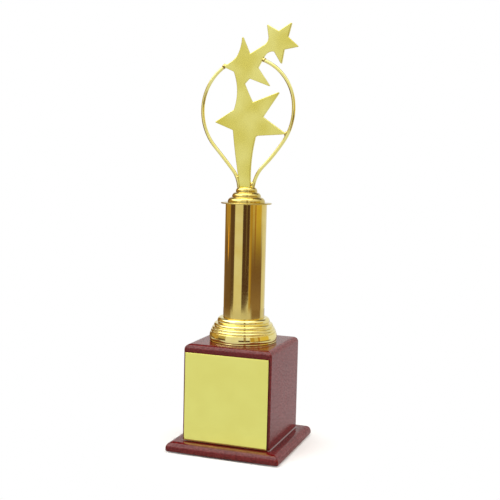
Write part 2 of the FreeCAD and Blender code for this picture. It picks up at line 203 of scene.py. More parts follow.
def turned(name, outline, segments=256):
    """Solid of revolution about Z from a closed outline of (radius, z), in metres. Points
    on the axis become one vertex each."""
    verts = []
    rings = []
    for radius, z in outline:
        if radius < WELD:
            rings.append([len(verts)])
            verts.append((0, 0, z))
            continue
        rings.append(range(len(verts), len(verts) + segments))
        for k in range(segments):
            angle = math.tau * k / segments
            verts.append((radius * math.cos(angle), radius * math.sin(angle), z))
    faces = []
    for i, ring in enumerate(rings):
        after = rings[(i + 1) % len(rings)]
        if len(ring) == 1 and len(after) == 1:
            continue
        for k in range(segments):
            m = (k + 1) % segments
            if len(ring) == 1:
                faces.append((ring[0], after[k], after[m]))
            elif len(after) == 1:
                faces.append((ring[k], ring[m], after[0]))
            else:
                faces.append((ring[k], ring[m], after[m], after[k]))
    return finish_mesh(name, verts, faces)


def square_ring(half, corner, z, arc_steps=6, side_steps=1):
    """Square ring of points with rounded corners, anticlockwise from the right side. Each
    side has a point close to its ends, which keeps the side's shading flat."""
    reach = half - corner
    side = [-reach + 2 * reach * i / side_steps for i in range(side_steps)]
    side = [side[0], -reach + CREASE, *side[1:], reach - CREASE]
    ring = []
    for quarter in range(4):
        turn = Matrix.Rotation(quarter * math.pi / 2, 3, "Z")
        ring += [turn @ Vector((half, y, z)) for y in side]
        ring += [turn @ Vector((reach + corner * along, reach + corner * across, z))
                 for along, across in quarter_arc(arc_steps)]
    return ring


def lofted(name, rings, closed=False):
    """Mesh through rings of equal length: its ends are flat caps, or it closes on itself."""
    size = len(rings[0])
    verts = [point for ring in rings for point in ring]
    faces = []
    spans = len(rings) if closed else len(rings) - 1
    for i in range(spans):
        low, high = i * size, (i + 1) % len(rings) * size
        for k in range(size):
            m = (k + 1) % size
            faces.append((low + k, low + m, high + m, high + k))
    if not closed:
        faces.append(list(range(size))[::-1])
        faces.append(list(range(len(verts) - size, len(verts))))
    return finish_mesh(name, verts, faces)


def moulded_rings(half, low, high, top_round, foot_round, corner, arc_steps=14):
    """Rings of a board with a rounded nosing."""
    levels = []
    if foot_round:
        levels += [(half - foot_round * (1 - across), low + foot_round * (1 - along))
                   for along, across in quarter_arc(arc_steps)]
    else:
        levels.append((half, low))
    levels.append((half, high - top_round - CREASE))
    levels += [(half - top_round * (1 - along), high - top_round * (1 - across))
               for along, across in quarter_arc(arc_steps)]
    levels.append((half - top_round - CREASE, high))
    return [square_ring(width, max(corner - (half - width), ARRIS), z)
            for width, z in levels]


# ---- wooden base ----
def felt_pad():
    """Felt sheet with soft, slightly uneven edges."""
    half = FELT_HIGH.x
    thick = FELT_HIGH.z - FELT_LOW.z
    corner = 3 * MM
    wander, wander_cells = 0.15 * MM, 900
    edge = [(half - 0.4 * MM, 0), (half, 0.25 * thick), (half, 0.75 * thick),
            (half - 0.3 * MM, thick)]
    rings = []
    for width, z in edge:
        ring = square_ring(width, corner, FELT_LOW.z + z, side_steps=90)
        if 0 < z < thick:
            for point in ring:
                out = noise.noise(point * wander_cells) * wander
                point.xy += point.xy.normalized() * out
        rings.append(ring)
    piece = lofted("felt_pad", rings)
    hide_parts("base_felt")
    return piece


def plinth():
    """Plinth board: a rounded nosing on top that meets in mitre lines, a small one below."""
    piece = lofted("plinth_moulding", moulded_rings(
        HALF_PLINTH, PLINTH_LOW.z, PLINTH_HIGH.z, top_round=6.2 * MM, foot_round=1.5 * MM,
        corner=2.0 * MM))
    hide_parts("plinth_board")
    return piece


def block_cap():
    """Block's top board, with a rounded nosing that meets in mitre lines."""
    piece = lofted("block_cap", moulded_rings(
        HALF_BLOCK, CAP_LOW.z, CAP_HIGH.z, top_round=5.2 * MM, foot_round=0,
        corner=BLOCK_CORNER))
    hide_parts("block_top_board")
    return piece


def wall(quarter_turns):
    """One mitred wall of the block, turned about Z from the front."""
    side = ("front", "right", "back", "left")[quarter_turns]
    thickness, corner_steps = 8 * MM, 6
    inner = HALF_BLOCK - thickness
    centre = HALF_BLOCK - BLOCK_CORNER

    def half_corner(x, first):
        """Half of a rounded corner: the mitre line cuts it in the middle."""
        angles = [math.radians(first + 45 * i / corner_steps) for i in range(corner_steps + 1)]
        return [(x + BLOCK_CORNER * math.cos(angle), -centre + BLOCK_CORNER * math.sin(angle))
                for angle in angles]

    plan = [*half_corner(-centre, 225), (-centre + CREASE, -HALF_BLOCK),
            (centre - CREASE, -HALF_BLOCK), *half_corner(centre, 270),
            (inner, -inner), (-inner, -inner)]
    turn = Matrix.Rotation(math.pi / 2 * quarter_turns, 3, "Z")
    rings = [[turn @ Vector((x, y, z)) for x, y in plan] for z in (WALLS_LOW.z, WALLS_HIGH.z)]
    piece = lofted(side + "_wall", rings)
    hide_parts("block_%s_panel" % side)
    return piece


def lacquer_bead():
    """Hollow-faced bead of glue and lacquer in the corner round the block's foot."""
    size = 0.8 * MM
    profile = [(0, 0), (size, 0)]
    profile += [(size * (1 - across), size * (1 - along))
                for along, across in quarter_arc(6)[1:-1]]
    profile.append((0, size))
    rings = [square_ring(HALF_BLOCK + out, BLOCK_CORNER + out, PLINTH_HIGH.z + up)
             for out, up in profile]
    piece = lofted("lacquer_bead", rings, closed=True)
    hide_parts("lacquer_fillet")
    return piece


def name_plate():
    """Blank engraving plate with a bevel whose edges are slightly softened."""
    front, back = PLATE_LOW.y, PLATE_HIGH.y
    half_x = PLATE_HIGH.x
    half_z = (PLATE_HIGH.z - PLATE_LOW.z) / 2
    middle_z = (PLATE_HIGH.z + PLATE_LOW.z) / 2
    bevel_width, bevel_depth = 1.2 * MM, 0.1 * MM
    corner, corner_steps = 0.15 * MM, 3
    # How far each ring is inside the plate's outline, and its y.
    profile = [(0.0, back), (0.0, front + bevel_depth + 0.12 * MM),
               (0.03 * MM, front + bevel_depth + 0.03 * MM),
               (0.12 * MM, front + bevel_depth - 0.02 * MM),
               (bevel_width - 0.2 * MM, front + 0.03 * MM),
               (bevel_width - 0.05 * MM, front + 0.01 * MM),
               (bevel_width + 0.15 * MM, front), (bevel_width + CREASE, front)]
    rings = []
    for inset, y in profile:
        ring = []
        for sign_x, sign_z, first in ((1, -1, -90), (1, 1, 0), (-1, 1, 90), (-1, -1, 180)):
            x = sign_x * (half_x - inset - corner)
            z = middle_z + sign_z * (half_z - inset - corner)
            for i in range(corner_steps + 1):
                angle = math.radians(first + 90 * i / corner_steps)
                ring.append(Vector((x + corner * math.cos(angle), y,
                                    z + corner * math.sin(angle))))
        rings.append(ring)
    piece = lofted("name_plate", rings)
    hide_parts("engraving_plate")
    return piece


# ---- column ----
def turned_from(name, outline, node, edge, step=0.35):
    """Turned piece from an outline in millimetres that stands for a CAD node.
    Its corners are rounded to the radius edge, and its points are about step apart."""
    points = round_corners(trace(outline, step), edge)
    piece = turned(name, [(r * MM, z * MM) for r, z in points])
    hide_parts(node)
    return piece


# From the collar's foot: its bore and hollow, then its band, two thin ridges and two tiers.
COLLAR_OUTLINE = [
    (19.15, 20.4), (22.0, 19.4), (22.2, 15.0), (25.6, 13.4), (25.8, 9.6), (28.8, 7.6), (28.6, 0),
    (31.0, 0), (31.0, 0.8), (30.8, 1.3), (31.3, 1.8), (30.6, 8.3, 31.3, 5.0),
    (29.5, 8.6), (28.9, 11.0, 30.1, 9.7),
    (28.2, 11.1), (27.6, 13.3, 28.9, 12.2),
    (26.7, 13.5), (24.9, 16.7, 27.3, 15.2),
    (23.6, 16.9), (20.9, 22.0, 24.2, 19.3), (19.15, 22.1),
]


def collar():
    """Hollow stepped collar with rounded steps."""
    foot = TUBE_LOW.z / MM
    outline = [tuple(value + foot * (i % 2) for i, value in enumerate(point))
               for point in COLLAR_OUTLINE]
    return turned_from("column_collar", outline, "lower_collar", edge=0.25)


def sleeve():
    """Column tube, with lightly deburred rims."""
    wall_thickness = 1.0
    support = 0.5                 # points this far from the rims keep the shading straight
    outer = TUBE_HIGH.x / MM
    bore = outer - wall_thickness
    low, high = TUBE_LOW.z / MM, TUBE_HIGH.z / MM
    outline = [(bore, low), (outer, low), (outer, low + support),
               (outer, high - support), (outer, high), (bore, high)]
    return turned_from("column_sleeve", outline, "column_tube", edge=0.15, step=4)


def flange_disc():
    """Thin disc with a rounded rim, clamped between the column and the riser."""
    bore = 3.3
    rim, low, high = DISC_HIGH.x / MM, DISC_LOW.z / MM, DISC_HIGH.z / MM
    outline = [(bore, low), (rim, low), (rim, high), (bore, high)]
    return turned_from("flange_disc", outline, "top_flange_disc", edge=0.45, step=0.5)


def riser():
    """Hollow three-tier riser with softened edges."""
    foot = RISER_LOW.z / MM
    top = RISER_HIGH.z / MM
    outline = [
        (15.2, foot), (17.3, foot),
        (17.2, foot + 0.9), (13.6, foot + 4.9, 16.1, foot + 3.5), (13.2, foot + 5.1),
        (13.3, foot + 5.8), (10.2, foot + 9.3, 12.4, foot + 8.0), (9.8, foot + 9.5),
        (9.9, foot + 10.1), (7.6, top, 9.2, foot + 12.6), (0, top), (0, top - 1.6),
        (8.0, top - 1.6), (8.0, foot + 8.2), (11.4, foot + 7.0), (11.6, foot + 4.0),
        (15.0, foot + 2.4),
    ]
    return turned_from("stepped_riser", outline, "upper_riser", edge=0.3)


# ---- joined stars ----
# Outline in millimetres, (x, z), anticlockwise.
RISER_TOP = RISER_HIGH.z / MM
STARS_OUTLINE = [
    (-3.5, RISER_TOP - 6.4),
    (3.5, RISER_TOP - 6.4),             # tang, inside the riser
    (4.0, RISER_TOP),
    (7.1, 284.2, 3.8, 262.0),           # lower stem, right edge
    (9.7, 287.1, 7.9, 286.3),
    (37.2, 288.7),                      # big star, right tip
    (14.3, 304.1),
    (29.8, 326.6),                      # big star, upper right tip
    (4.1, 317.2),
    (-4.1, 333.9, -0.4, 325.8),         # middle stem, right edge
    (0.3, 338.5),
    (20.7, 330.9),                      # middle star, lower right tip
    (8.4, 348.1),
    (14.2, 358.2, 11.0, 352.6),         # upper stem, lower edge
    (23.2, 361.9, 18.1, 361.6),
    (30.4, 350.4),                      # small star, bottom tip
    (32.7, 363.7),
    (46.2, 366.0),                      # small star, right tip
    (36.0, 374.8),
    (39.4, 387.6),                      # small star, upper right tip
    (27.2, 380.1),
    (15.9, 386.4),                      # small star, upper left tip
    (17.7, 374.7),
    (12.7, 367.6, 16.2, 370.2),         # upper stem, upper edge
    (0.4, 360.4),
    (-7.6, 378.0),                      # middle star, top tip
    (-12.2, 358.4, -8.9, 366.1),
    (-26.0, 349.7, -18.1, 353.3),       # middle star, left tip
    (-14.8, 344.7),
    (-13.9, 310.5, -11.2, 328.5),       # middle stem, left edge
    (-32.4, 299.1),                     # big star, left tip
    (-14.4, 291.9),
    (-6.3, RISER_TOP, -11.0, 266.0),    # lower stem, left edge
    (-3.5, RISER_TOP),
]


def inset_outline(points, distance):
    """Closed anticlockwise outline moved inwards along the corner bisectors."""
    moved = []
    count = len(points)
    for i, here in enumerate(points):
        point = Vector(here)
        along_in = (point - Vector(points[i - 1])).normalized()
        along_out = (Vector(points[(i + 1) % count]) - point).normalized()
        inward_in = Vector((-along_in.y, along_in.x))
        inward_out = Vector((-along_out.y, along_out.x))
        bisector = (inward_in + inward_out).normalized()
        moved.append(tuple(point + bisector * (distance / bisector.dot(inward_in))))
    return moved


def inside_outline(point, outline):
    """Whether a closed outline goes round a point, by counting its crossings."""
    inside = False
    last = outline[-1]
    for here in outline:
        if (here.y > point.y) != (last.y > point.y):
            slope = (last.x - here.x) / (last.y - here.y)
            if point.x < here.x + slope * (point.y - here.y):
                inside = not inside
        last = here
    return inside


def nearest_in(points):
    """Function that gives a point's distance from the nearest of these."""
    tree = kdtree.KDTree(len(points))
    for i, point in enumerate(points):
        tree.insert(point.to_3d(), i)
    tree.balance()
    return lambda point: tree.find(point.to_3d())[2]


def grid_inside(outline, pitch, margin):
    """Points of a staggered grid inside a closed outline, clear of it by a margin."""
    low = Vector((min(p.x for p in outline), min(p.y for p in outline)))
    high = Vector((max(p.x for p in outline), max(p.y for p in outline)))
    distance = nearest_in(outline)
    row_pitch = pitch * math.sqrt(3) / 2
    found = []
    for row in range(math.ceil((high.y - low.y) / row_pitch)):
        for column in range(math.ceil((high.x - low.x) / pitch)):
            point = low + Vector(((column + row % 2 / 2) * pitch, row * row_pitch))
            if distance(point) > margin and inside_outline(point, outline):
                found.append(point)
    return found


def triangulated(rim, pitch, margin):
    """Triangles over a closed outline and a grid of points inside it: the points, which rim
    point each came from, and the triangles."""
    edges = [(k, (k + 1) % len(rim)) for k in range(len(rim))]
    inside_only, tolerance, want_origins = 1, 1e-6, True
    points, _, triangles, origins, _, _ = delaunay_2d_cdt(
        rim + grid_inside(rim, pitch, margin), edges, [], inside_only, tolerance, want_origins)
    triangles = [triangle for triangle in triangles
                 if inside_outline(sum((points[i] for i in triangle), Vector((0, 0))) / 3, rim)]
    return points, origins, triangles


# Swells that hand polishing leaves in a flat face: height, width and length in millimetres,
# and a number that tells the noises apart.
POLISHING_SWELLS = [(0.28, 24, 30, 3.1), (0.03, 9, 11, 8.7)]


def hand_finish(x, z, side):
    """How far hand polishing leaves a face of the star plate from flat, in millimetres."""
    return sum(height * noise.noise(Vector((x / width, seed * side, z / length)))
               for height, width, length, seed in POLISHING_SWELLS)


def joined_stars():
    """The three stars as one plate with rounded edges and gently uneven polished faces."""
    half, edge, edge_steps = 1.5, 0.5, 5
    flat_margin = 6               # the swells reach their full height this far from the edge
    outline = round_corners(trace(STARS_OUTLINE, step=0.7), radius=0.6)
    size = len(outline)
    loops = [(inset_outline(outline, edge * (1 - across)), -half + edge * (1 - along))
             for along, across in quarter_arc(edge_steps)]
    loops += [(points, -y) for points, y in reversed(loops)]
    verts = [(x, y, z) for points, y in loops for x, z in points]
    faces = []
    for low in range(0, (len(loops) - 1) * size, size):
        for k in range(size):
            m = (k + 1) % size
            faces.append((low + k, low + m, low + size + m, low + size + k))
    rim = [Vector(point) for point in loops[0][0]]
    distance = nearest_in(rim)
    points, origins, triangles = triangulated(rim, pitch=1.6, margin=0.9)
    for side, rim_start in ((-1, 0), (1, (len(loops) - 1) * size)):
        index = []
        for point, sources in zip(points, origins):
            if sources and sources[0] < size:
                index.append(rim_start + sources[0])
                continue
            fade = min(1, distance(point) / flat_margin)
            rise = fade * hand_finish(point.x, point.y, side)
            index.append(len(verts))
            verts.append((point.x, side * (half + rise), point.y))
        faces += [tuple(index[i] for i in triangle) for triangle in triangles]
    verts = [(x * MM, y * MM, z * MM) for x, y, z in verts]
    piece = finish_mesh("joined_stars", verts, faces)
    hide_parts("star_figure")
    return piece


# ---- bent rods and solder ----
ROD_RADIUS = 1.6
# Piece, CAD node, foot (x, z), heading there, and the points that the rod's arcs run through.
RODS = [
    ("left_bent_rod", "left_loop_rod", (-7.8, 240.2), 93.3,
     [(-13.9, 255.7), (-32.0, 276.7), (-44.8, 308.0), (-24.7, 349.2)]),
    ("right_bent_rod", "right_loop_rod", (6.1, 240.0), 82.8,
     [(10.1, 252.5), (15.2, 259.4), (33.9, 282.2), (42.3, 318.4), (12.8, 354.9)]),
]
# Radius, x, z, stretch along the rod, and the rod's heading there.
SOLDER_BEADS = [
    (1.6, -9.5, 249.2, 1.2, 115),
    (1.95, 5.3, 242.7, 1.5, 75),
    (1.85, -24.6, 349.6, 1.5, 55),
    (1.95, 13.8, 354.9, 1.2, 165),
    (1.7, 36.4, 289.1, 1.5, 60),
]


def rod_line(start, heading, points, step=0.7):
    """Points (x, z) along arcs, each tangent to the one before, from the end of a
    straight stub below start through points. The heading is in degrees from +X to +Z."""
    stub = 1.6
    angle = math.radians(heading)
    tangent = Vector((math.cos(angle), math.sin(angle)))
    last = Vector(start)
    line = [last - tangent * stub, last]
    for end in map(Vector, points):
        chord = end - last
        along = chord.normalized()
        across = Vector((-along.y, along.x))
        bend = math.atan2(tangent.dot(across), tangent.dot(along))
        middle = (last + end) / 2 + across * (chord.length / 2 * math.tan(bend / 2))
        line += [Vector(p) for p in arc_points(tuple(last), tuple(middle), tuple(end), step)]
        tangent = along * (2 * tangent.dot(along)) - tangent
        last = end
    return line


def bent_rod(name, node, start, heading, points, sides=28):
    """Round hand-bent rod: its section swells a little here and there, as bending leaves
    it, and its ends are narrower."""
    swell, swell_steps, end_scale = 0.02, 14, 0.8
    line = rod_line(start, heading, points)
    rings = []
    count = len(line)
    for i, here in enumerate(line):
        along = (line[min(i + 1, count - 1)] - line[max(i - 1, 0)]).normalized()
        across = Vector((-along.y, along.x))
        uneven = noise.noise(Vector((i / swell_steps, heading, 0)))
        radius = ROD_RADIUS * (1 + swell * uneven)
        if i in (0, count - 1):
            radius *= end_scale
        ring = []
        for k in range(sides):
            angle = math.tau * k / sides
            out = across * (radius * math.cos(angle))
            ring.append(Vector((here.x + out.x, radius * math.sin(angle), here.y + out.y)) * MM)
        rings.append(ring)
    piece = lofted(name, rings)
    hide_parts(node)
    return piece


def solder_lumps():
    """Uneven balls of solder at the rods' feet and where the rods meet the stars."""
    swell, swell_cells, thickness = 0.13, 1.7, 1.02
    work = bmesh.new()
    for radius, x, z, stretch, heading in SOLDER_BEADS:
        centre = Vector((x, 0, z))
        lean = Matrix.Rotation(-math.radians(heading), 3, "Y")
        made = bmesh.ops.create_icosphere(work, subdivisions=4, radius=1)
        for vert in made["verts"]:
            out = vert.co.copy()
            uneven = 1 + swell * noise.noise(out * swell_cells + centre)
            shape = Vector((out.x * stretch, out.y * thickness, out.z)) * radius * uneven
            vert.co = (centre + lean @ shape) * MM
    mesh = bpy.data.meshes.new("solder_lumps")
    work.to_mesh(mesh)
    work.free()
    for face in mesh.polygons:
        face.use_smooth = True
    piece = add_object("solder_lumps", mesh)
    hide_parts("solder_beads")
    return piece


# ---- materials ----
def put(tree, kind, inputs=None, **settings):
    """Adds a node. Inputs are set by name or number, to a value or from another socket."""
    node = tree.nodes.new(kind)
    for name, value in settings.items():
        setattr(node, name, value)
    for key, value in (inputs or {}).items():
        socket = node.inputs[key]
        if isinstance(value, bpy.types.NodeSocket):
            tree.links.new(value, socket)
        else:
            socket.default_value = value
    return node


def new_material(name):
    """New material, its node tree and its shader."""
    material = bpy.data.materials.new(name)
    material.use_nodes = True
    tree = material.node_tree
    shader = tree.nodes["Principled BSDF"]
    return material, tree, shader


def math_node(tree, operation, *values):
    node = put(tree, "ShaderNodeMath", dict(enumerate(values)), operation=operation)
    return node.outputs[0]


def object_point(tree):
    return put(tree, "ShaderNodeTexCoord").outputs["Object"]


def speckle(tree, cells, detail=2.0, rough=0.5, twist=0.0):
    """Noise from 0 to 1. cells is how many of its cells there are in a metre, as one number
    or as one along each axis, or a socket that gives the place in cells."""
    if not isinstance(cells, bpy.types.NodeSocket):
        if not isinstance(cells, tuple):
            cells = (cells,) * 3
        cells = put(tree, "ShaderNodeVectorMath", {0: object_point(tree), 1: cells},
                    operation="MULTIPLY").outputs[0]
    return put(tree, "ShaderNodeTexNoise", {"Vector": cells, "Scale": 1.0, "Detail": detail,
                                            "Roughness": rough, "Distortion": twist}).outputs["Fac"]


def span(tree, value, low, high, to_low, to_high, smooth=False):
    """Value taken from one range to another, and kept inside it."""
    node = put(tree, "ShaderNodeMapRange", {"Value": value, "From Min": low, "From Max": high,
                                            "To Min": to_low, "To Max": to_high})
    node.clamp = True
    if smooth:
        node.interpolation_type = "SMOOTHSTEP"
    return node.outputs["Result"]


def mixed(tree, factor, first, second):
    """Colour between two, each given as a colour or a socket."""
    sides = {}
    for key, colour in ((6, first), (7, second)):
        if isinstance(colour, bpy.types.NodeSocket):
            sides[key] = colour
        else:
            sides[key] = (*colour, 1)
    return put(tree, "ShaderNodeMix", {0: factor, **sides}, data_type="RGBA").outputs[2]


def bump(tree, height, depth, normal=None):
    """Surface relief of a depth in millimetres."""
    inputs = {"Height": height, "Distance": depth * MM, "Strength": 1.0}
    if normal is not None:
        inputs["Normal"] = normal
    return put(tree, "ShaderNodeBump", inputs).outputs["Normal"]


def wire(tree, shader, **inputs):
    """Sets the shader's inputs to values or sockets: base_color is Base Color, and so on."""
    for name, value in inputs.items():
        socket = shader.inputs[name.replace("_", " ").title().replace("Ior", "IOR")]
        if isinstance(value, bpy.types.NodeSocket):
            tree.links.new(value, socket)
        else:
            socket.default_value = value


def round_axis(tree, per_turn, per_metre):
    """Cells that follow a turned surface: few round it, many along and across it."""
    point = object_point(tree)
    parts = put(tree, "ShaderNodeSeparateXYZ", {0: point}).outputs
    angle = math_node(tree, "ARCTAN2", parts[1], parts[0])
    flat = put(tree, "ShaderNodeCombineXYZ", {0: parts[0], 1: parts[1]}).outputs[0]
    radius = put(tree, "ShaderNodeVectorMath", {0: flat}, operation="LENGTH").outputs["Value"]
    return put(tree, "ShaderNodeCombineXYZ", {
        0: math_node(tree, "MULTIPLY", radius, per_metre),
        1: math_node(tree, "MULTIPLY", angle, per_turn / math.tau),
        2: math_node(tree, "MULTIPLY", parts[2], per_metre)}).outputs[0]


GOLD = (0.765, 0.615, 0.205)
DEEP_GOLD = (0.72, 0.545, 0.15)
# Paler than the plating's own gold: painted light, so that the collar's reflections come out
# whiter.
PALE_GOLD_PAINTED_LIGHT = (0.89, 0.78, 0.34)


def polished_gold(name, grain_depth, gloss, cells=None, round_cells=None, ripple=0.0,
                  colours=(GOLD, DEEP_GOLD)):
    """Mirror-bright gold plating. Its polishing marks have cells along the axes, or
    round_cells per turn and per metre on a turned piece. gloss is the lowest and highest
    roughness, and ripple the depth of broad unevenness."""
    dust_depth, ripple_cells = 0.0012, (130, 130, 22)
    material, tree, shader = new_material(name)
    tarnish = speckle(tree, 70, detail=4, rough=0.6)
    marks = speckle(tree, round_axis(tree, *round_cells) if round_cells else cells, detail=3,
                    rough=0.6)
    dust = speckle(tree, 1400, detail=2)
    colour = mixed(tree, span(tree, tarnish, 0.35, 0.7, 0, 1), *colours)
    smear = math_node(tree, "MULTIPLY", marks, tarnish)
    roughness = span(tree, smear, 0.1, 0.45, *gloss)
    relief = bump(tree, marks, grain_depth)
    relief = bump(tree, span(tree, dust, 0.68, 0.8, 0, 1), dust_depth, relief)
    if ripple:
        swell = speckle(tree, ripple_cells, detail=1)
        relief = bump(tree, swell, ripple, relief)
    wire(tree, shader, base_color=colour, metallic=1.0, roughness=roughness, normal=relief)
    return material


# Paler copy of the polished gold for the collar: painted light that whitens its highlights.
def turned_gold_painted_light():
    return polished_gold("turned_gold_painted_light", 0.0004, (0.04, 0.10), round_cells=(5, 5200),
                         colours=(PALE_GOLD_PAINTED_LIGHT, (0.83, 0.69, 0.23)))


# Darker copy of the polished gold for the riser and the flange disc: painted shade, for how much
# less bright they look under the studio's light.
def riser_gold_painted_shade():
    return polished_gold("riser_gold_painted_shade", 0.0004, (0.09, 0.18), round_cells=(5, 5200),
                         colours=((0.65, 0.53, 0.17), (0.60, 0.45, 0.12)))


def tube_gold():
    return polished_gold("tube_gold", 0.0003, (0.04, 0.10), round_cells=(14, 1800),
                         ripple=0.006)


def rod_gold():
    return polished_gold("rod_gold", 0.0005, (0.08, 0.16), cells=(900, 2600, 900),
                         colours=((0.90, 0.84, 0.34), (0.86, 0.76, 0.22)))


def solder_gold():
    material, tree, shader = new_material("solder_gold")
    lumps = speckle(tree, 900, detail=4, rough=0.6)
    soot = speckle(tree, 420, detail=3)
    colour = mixed(tree, span(tree, soot, 0.5, 0.68, 0, 1), GOLD, (0.16, 0.085, 0.03))
    wire(tree, shader, base_color=colour, metallic=1.0,
         roughness=span(tree, lumps, 0.3, 0.7, 0.12, 0.35), normal=bump(tree, lumps, 0.05))
    return material


def brushed_gold(name, across, along, gloss, depth, colours, cloud, coat=0.0):
    """Satin gold with fine straight brush marks along Z: across and along are the marks
    in a metre, and cloud is the patches of its two colours in a metre."""
    material, tree, shader = new_material(name)
    marks = speckle(tree, (across, across, along), detail=4, rough=0.65)
    haze = speckle(tree, cloud, detail=2, rough=0.4)
    colour = mixed(tree, span(tree, haze, 0.3, 0.7, 0, 1), *colours)
    streaked = math_node(tree, "ADD", math_node(tree, "MULTIPLY", haze, 0.6),
                         math_node(tree, "MULTIPLY", marks, 0.4))
    wire(tree, shader, base_color=colour, metallic=1.0,
         roughness=span(tree, streaked, 0.35, 0.65, *gloss), normal=bump(tree, marks, depth),
         coat_weight=coat, coat_roughness=0.06)
    return material


def star_gold():
    return brushed_gold("star_gold", across=2600, along=260, gloss=(0.20, 0.30), depth=0.0002,
                        colours=((0.86, 0.80, 0.26), (0.68, 0.59, 0.10)), cloud=38)


def plate_gold():
    return brushed_gold("plate_gold", across=2600, along=40, gloss=(0.17, 0.26), depth=0.0004,
                        colours=((0.90, 0.87, 0.23), (0.87, 0.83, 0.21)), cloud=55,
                        coat=0.15)


WOOD_DARK, WOOD_LIGHT = (0.110, 0.0050, 0.0050), (0.170, 0.0095, 0.0085)
WOOD_CLOUD = (0.10, 0.0045, 0.0055)
WOOD_PORE = (0.045, 0.003, 0.003)
WOOD_PEEL = (0.04, 0.002, 0.003)


def lacquered_wood(name, grain):
    """Red-brown stained wood under gloss lacquer with a fine orange peel. grain is the cells
    in a metre along X, Y and Z, few along the grain."""
    material, tree, shader = new_material(name)
    figure = speckle(tree, grain, detail=5, rough=0.6, twist=0.4)
    pores = speckle(tree, tuple(6 * cells for cells in grain), detail=2)
    cloud = speckle(tree, 35, detail=3)
    colour = mixed(tree, span(tree, figure, 0.3, 0.7, 0, 1), WOOD_DARK, WOOD_LIGHT)
    colour = mixed(tree, span(tree, cloud, 0.35, 0.7, 0, 0.5), colour, WOOD_CLOUD)
    colour = mixed(tree, span(tree, pores, 0.6, 0.72, 0, 0.5), colour, WOOD_PORE)
    peel = speckle(tree, 700, detail=1)
    colour = mixed(tree, span(tree, peel, 0.4, 0.6, 0.5, 0), colour, WOOD_PEEL)
    waves = speckle(tree, 260, detail=1)
    skin = bump(tree, peel, 0.10, bump(tree, waves, 0.012))
    wire(tree, shader, base_color=colour, roughness=span(tree, figure, 0.3, 0.7, 0.5, 0.62),
         normal=bump(tree, pores, 0.02), coat_weight=span(tree, peel, 0.4, 0.6, 0.66, 1),
         coat_roughness=0.05, coat_ior=1.42, coat_normal=skin, specular_ior_level=0.0)
    return material


def bead_lacquer():
    material, tree, shader = new_material("bead_lacquer")
    runs = speckle(tree, 240, detail=3)
    colour = mixed(tree, runs, (0.05, 0.006, 0.006), (0.10, 0.014, 0.012))
    wire(tree, shader, base_color=colour, roughness=span(tree, runs, 0.3, 0.7, 0.12, 0.3),
         normal=bump(tree, runs, 0.12), coat_weight=1.0, coat_roughness=0.05)
    return material


def felt_cloth():
    material, tree, shader = new_material("felt_cloth")
    fibres = speckle(tree, 2400, detail=5, rough=0.7, twist=1.5)
    wear = speckle(tree, 60, detail=3)
    colour = mixed(tree, fibres, (0.008, 0.008, 0.010), (0.045, 0.043, 0.05))
    colour = mixed(tree, span(tree, wear, 0.5, 0.75, 0, 0.4), colour, (0.06, 0.058, 0.062))
    wire(tree, shader, base_color=colour, roughness=0.95, normal=bump(tree, fibres, 0.25),
         sheen_weight=0.35)
    return material


def raw_wood():
    material, tree, shader = new_material("raw_wood")
    rings = speckle(tree, (420, 420, 12), detail=4, rough=0.6, twist=0.5)
    saw = speckle(tree, (90, 90, 1700), detail=2)
    colour = mixed(tree, span(tree, rings, 0.3, 0.7, 0, 1), (0.63, 0.44, 0.26),
                   (0.46, 0.29, 0.15))
    wire(tree, shader, base_color=colour, roughness=span(tree, rings, 0.3, 0.7, 0.6, 0.8),
         normal=bump(tree, saw, 0.05))
    return material


def zinc_steel():
    material, tree, shader = new_material("zinc_steel")
    bloom = speckle(tree, 300, detail=4, rough=0.6)
    cut = speckle(tree, (500, 500, 4200), detail=2)
    colour = mixed(tree, span(tree, bloom, 0.35, 0.7, 0, 1), (0.66, 0.67, 0.68),
                   (0.50, 0.51, 0.54))
    wire(tree, shader, base_color=colour, metallic=1.0,
         roughness=span(tree, bloom, 0.3, 0.7, 0.25, 0.45), normal=bump(tree, cut, 0.02))
    return material


def turned_brass():
    material, tree, shader = new_material("turned_brass")
    cuts = speckle(tree, round_axis(tree, 3, 3600), detail=2)
    stain = speckle(tree, 160, detail=4)
    colour = mixed(tree, span(tree, stain, 0.35, 0.7, 0, 1), (0.74, 0.57, 0.25),
                   (0.55, 0.37, 0.15))
    wire(tree, shader, base_color=colour, metallic=1.0,
         roughness=span(tree, stain, 0.3, 0.7, 0.25, 0.4), normal=bump(tree, cuts, 0.015))
    return material


def moulded_plastic():
    material, tree, shader = new_material("moulded_plastic")
    texture = speckle(tree, 1300, detail=2)
    flow = speckle(tree, 45, detail=3)
    colour = mixed(tree, flow, (0.018, 0.018, 0.020), (0.035, 0.035, 0.038))
    wire(tree, shader, base_color=colour, roughness=span(tree, flow, 0.3, 0.7, 0.45, 0.6),
         normal=bump(tree, texture, 0.03))
    return material


def foam_tape():
    material, tree, shader = new_material("foam_tape")
    cells = speckle(tree, 2600, detail=2)
    colour = mixed(tree, cells, (0.62, 0.62, 0.58), (0.82, 0.82, 0.78))
    wire(tree, shader, base_color=colour, roughness=0.85, normal=bump(tree, cells, 0.06))
    return material


def dress(piece, material, slot=None):
    """Gives a piece its material and, when a slot is named, lets it ride on the row. The slot's
    name itself is not kept.
    """
    piece.data.materials.clear()
    piece.data.materials.append(material)
    if slot:
        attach(piece, "root")


